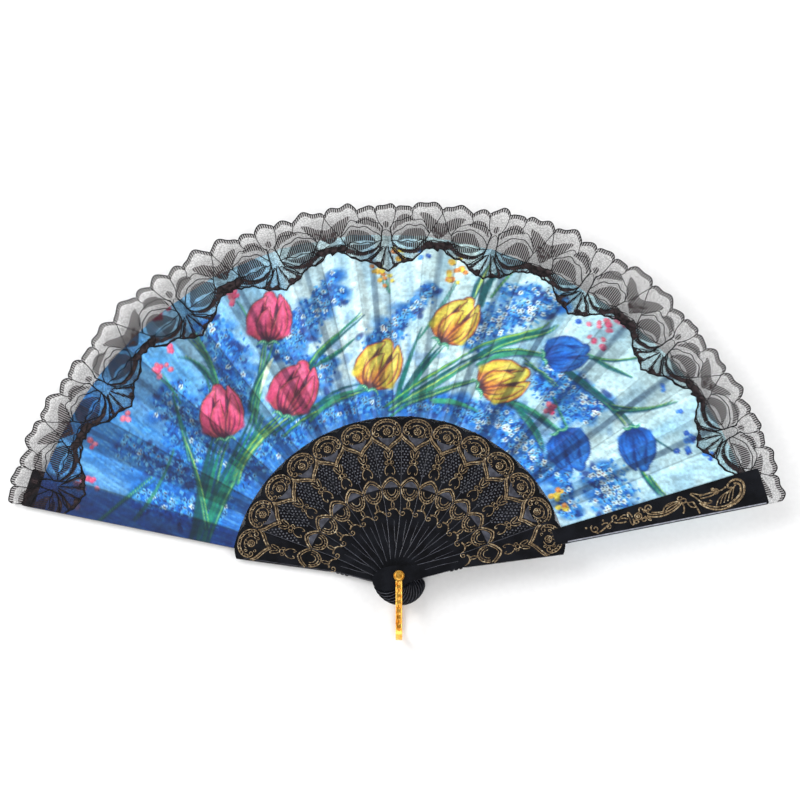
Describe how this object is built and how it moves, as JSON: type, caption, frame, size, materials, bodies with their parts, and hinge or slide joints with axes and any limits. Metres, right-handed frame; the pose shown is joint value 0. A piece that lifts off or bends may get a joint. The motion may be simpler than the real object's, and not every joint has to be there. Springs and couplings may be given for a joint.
{
  "type": "hand fan",
  "caption": "Folding hand fan with carved plastic ribs and guards on one rivet, a pleated printed cloth leaf, a lace trim and a stirrup ring.",
  "frame": {"origin": "on the pivot axis, at the flat cap of the rivet that rests on the table", "axes": "+Z along the pivot axis towards the printed side, +Y from the pivot up the middle of the open leaf, +X towards the front guard"},
  "size_m": [0.447, 0.2624, 0.0174],
  "materials": {
    "black_plastic": "injection moulded, glossy",
    "painted_cloth": "printed satin polyester",
    "black_lace": "nylon net lace",
    "gilt_metal": "stamped, gold plated"
  },
  "bodies": {
    "back_guard": {"back_guard": "black_plastic", "rivet": "gilt_metal", "rivet_cap": "gilt_metal", "leaf_panel_00": "painted_cloth", "lace_panel_00": "black_lace"},
    "rib_01": {"rib_01": "black_plastic", "leaf_panel_01": "painted_cloth", "lace_panel_01": "black_lace"},
    "rib_02": {"rib_02": "black_plastic", "leaf_panel_02": "painted_cloth", "lace_panel_02": "black_lace"},
    "rib_03": {"rib_03": "black_plastic", "leaf_panel_03": "painted_cloth", "lace_panel_03": "black_lace"},
    "rib_04": {"rib_04": "black_plastic", "leaf_panel_04": "painted_cloth", "lace_panel_04": "black_lace"},
    "rib_05": {"rib_05": "black_plastic", "leaf_panel_05": "painted_cloth", "lace_panel_05": "black_lace"},
    "rib_06": {"rib_06": "black_plastic", "leaf_panel_06": "painted_cloth", "lace_panel_06": "black_lace"},
    "rib_07": {"rib_07": "black_plastic", "leaf_panel_07": "painted_cloth", "lace_panel_07": "black_lace"},
    "rib_08": {"rib_08": "black_plastic", "leaf_panel_08": "painted_cloth", "lace_panel_08": "black_lace"},
    "rib_09": {"rib_09": "black_plastic", "leaf_panel_09": "painted_cloth", "lace_panel_09": "black_lace"},
    "rib_10": {"rib_10": "black_plastic", "leaf_panel_10": "painted_cloth", "lace_panel_10": "black_lace"},
    "rib_11": {"rib_11": "black_plastic", "leaf_panel_11": "painted_cloth", "lace_panel_11": "black_lace"},
    "rib_12": {"rib_12": "black_plastic", "leaf_panel_12": "painted_cloth", "lace_panel_12": "black_lace"},
    "front_guard": {"front_guard": "black_plastic", "leaf_panel_13": "painted_cloth", "lace_panel_13": "black_lace"},
    "pleat_01": {"leaf_fold_01": "painted_cloth"},
    "pleat_02": {"leaf_fold_02": "painted_cloth"},
    "pleat_03": {"leaf_fold_03": "painted_cloth"},
    "pleat_04": {"leaf_fold_04": "painted_cloth"},
    "pleat_05": {"leaf_fold_05": "painted_cloth"},
    "pleat_06": {"leaf_fold_06": "painted_cloth"},
    "pleat_07": {"leaf_fold_07": "painted_cloth"},
    "pleat_08": {"leaf_fold_08": "painted_cloth"},
    "pleat_09": {"leaf_fold_09": "painted_cloth"},
    "pleat_10": {"leaf_fold_10": "painted_cloth"},
    "pleat_11": {"leaf_fold_11": "painted_cloth"},
    "pleat_12": {"leaf_fold_12": "painted_cloth"},
    "pleat_13": {"leaf_fold_13": "painted_cloth"},
    "ring": {"ring": "gilt_metal"}
  },
  "joints": [
    {"name": "fold_01", "type": "hinge", "parent": "back_guard", "child": "rib_01", "pos_m": [0, 0, 0], "axis": [0, 0, 1], "range_deg": [0, 11.8]},
    {"name": "fold_02", "type": "hinge", "parent": "rib_01", "child": "rib_02", "pos_m": [0, 0, 0], "axis": [0, 0, 1], "range_deg": [0, 11.8]},
    {"name": "fold_03", "type": "hinge", "parent": "rib_02", "child": "rib_03", "pos_m": [0, 0, 0], "axis": [0, 0, 1], "range_deg": [0, 11.8]},
    {"name": "fold_04", "type": "hinge", "parent": "rib_03", "child": "rib_04", "pos_m": [0, 0, 0], "axis": [0, 0, 1], "range_deg": [0, 11.8]},
    {"name": "fold_05", "type": "hinge", "parent": "rib_04", "child": "rib_05", "pos_m": [0, 0, 0], "axis": [0, 0, 1], "range_deg": [0, 11.8]},
    {"name": "fold_06", "type": "hinge", "parent": "rib_05", "child": "rib_06", "pos_m": [0, 0, 0], "axis": [0, 0, 1], "range_deg": [0, 11.8]},
    {"name": "fold_07", "type": "hinge", "parent": "rib_06", "child": "rib_07", "pos_m": [0, 0, 0], "axis": [0, 0, 1], "range_deg": [0, 11.8]},
    {"name": "fold_08", "type": "hinge", "parent": "rib_07", "child": "rib_08", "pos_m": [0, 0, 0], "axis": [0, 0, 1], "range_deg": [0, 11.45]},
    {"name": "fold_09", "type": "hinge", "parent": "rib_08", "child": "rib_09", "pos_m": [0, 0, 0], "axis": [0, 0, 1], "range_deg": [0, 11.45]},
    {"name": "fold_10", "type": "hinge", "parent": "rib_09", "child": "rib_10", "pos_m": [0, 0, 0], "axis": [0, 0, 1], "range_deg": [0, 11.45]},
    {"name": "fold_11", "type": "hinge", "parent": "rib_10", "child": "rib_11", "pos_m": [0, 0, 0], "axis": [0, 0, 1], "range_deg": [0, 11.45]},
    {"name": "fold_12", "type": "hinge", "parent": "rib_11", "child": "rib_12", "pos_m": [0, 0, 0], "axis": [0, 0, 1], "range_deg": [0, 11.45]},
    {"name": "fold_13", "type": "hinge", "parent": "rib_12", "child": "front_guard", "pos_m": [0, 0, 0], "axis": [0, 0, 1], "range_deg": [0, 11.45]},
    {"name": "crease_01", "type": "hinge", "parent": "back_guard", "child": "pleat_01", "pos_m": [0, 0, 0], "axis": [0, 0, 1], "range_deg": [0, 5.9]},
    {"name": "crease_02", "type": "hinge", "parent": "rib_01", "child": "pleat_02", "pos_m": [0, 0, 0], "axis": [0, 0, 1], "range_deg": [0, 5.9]},
    {"name": "crease_03", "type": "hinge", "parent": "rib_02", "child": "pleat_03", "pos_m": [0, 0, 0], "axis": [0, 0, 1], "range_deg": [0, 5.9]},
    {"name": "crease_04", "type": "hinge", "parent": "rib_03", "child": "pleat_04", "pos_m": [0, 0, 0], "axis": [0, 0, 1], "range_deg": [0, 5.9]},
    {"name": "crease_05", "type": "hinge", "parent": "rib_04", "child": "pleat_05", "pos_m": [0, 0, 0], "axis": [0, 0, 1], "range_deg": [0, 5.9]},
    {"name": "crease_06", "type": "hinge", "parent": "rib_05", "child": "pleat_06", "pos_m": [0, 0, 0], "axis": [0, 0, 1], "range_deg": [0, 5.9]},
    {"name": "crease_07", "type": "hinge", "parent": "rib_06", "child": "pleat_07", "pos_m": [0, 0, 0], "axis": [0, 0, 1], "range_deg": [0, 5.9]},
    {"name": "crease_08", "type": "hinge", "parent": "rib_07", "child": "pleat_08", "pos_m": [0, 0, 0], "axis": [0, 0, 1], "range_deg": [0, 5.72]},
    {"name": "crease_09", "type": "hinge", "parent": "rib_08", "child": "pleat_09", "pos_m": [0, 0, 0], "axis": [0, 0, 1], "range_deg": [0, 5.72]},
    {"name": "crease_10", "type": "hinge", "parent": "rib_09", "child": "pleat_10", "pos_m": [0, 0, 0], "axis": [0, 0, 1], "range_deg": [0, 5.72]},
    {"name": "crease_11", "type": "hinge", "parent": "rib_10", "child": "pleat_11", "pos_m": [0, 0, 0], "axis": [0, 0, 1], "range_deg": [0, 5.72]},
    {"name": "crease_12", "type": "hinge", "parent": "rib_11", "child": "pleat_12", "pos_m": [0, 0, 0], "axis": [0, 0, 1], "range_deg": [0, 5.72]},
    {"name": "crease_13", "type": "hinge", "parent": "rib_12", "child": "pleat_13", "pos_m": [0, 0, 0], "axis": [0, 0, 1], "range_deg": [0, 5.72]},
    {"name": "ring_swing", "type": "hinge", "parent": "back_guard", "child": "ring", "pos_m": [0, 0, 0], "axis": [0, 0, 1], "range_deg": [-80, 80]}
  ],
  "couplings": [
    {"joint": "fold_02", "follows": "fold_01", "ratio": 1},
    {"joint": "fold_03", "follows": "fold_01", "ratio": 1},
    {"joint": "fold_04", "follows": "fold_01", "ratio": 1},
    {"joint": "fold_05", "follows": "fold_01", "ratio": 1},
    {"joint": "fold_06", "follows": "fold_01", "ratio": 1},
    {"joint": "fold_07", "follows": "fold_01", "ratio": 1},
    {"joint": "fold_08", "follows": "fold_01", "ratio": 0.97034},
    {"joint": "fold_09", "follows": "fold_01", "ratio": 0.97034},
    {"joint": "fold_10", "follows": "fold_01", "ratio": 0.97034},
    {"joint": "fold_11", "follows": "fold_01", "ratio": 0.97034},
    {"joint": "fold_12", "follows": "fold_01", "ratio": 0.97034},
    {"joint": "fold_13", "follows": "fold_01", "ratio": 0.97034},
    {"joint": "crease_01", "follows": "fold_01", "ratio": 0.5},
    {"joint": "crease_02", "follows": "fold_01", "ratio": 0.5},
    {"joint": "crease_03", "follows": "fold_01", "ratio": 0.5},
    {"joint": "crease_04", "follows": "fold_01", "ratio": 0.5},
    {"joint": "crease_05", "follows": "fold_01", "ratio": 0.5},
    {"joint": "crease_06", "follows": "fold_01", "ratio": 0.5},
    {"joint": "crease_07", "follows": "fold_01", "ratio": 0.5},
    {"joint": "crease_08", "follows": "fold_01", "ratio": 0.48517},
    {"joint": "crease_09", "follows": "fold_01", "ratio": 0.48517},
    {"joint": "crease_10", "follows": "fold_01", "ratio": 0.48517},
    {"joint": "crease_11", "follows": "fold_01", "ratio": 0.48517},
    {"joint": "crease_12", "follows": "fold_01", "ratio": 0.48517},
    {"joint": "crease_13", "follows": "fold_01", "ratio": 0.48517}
  ]
}
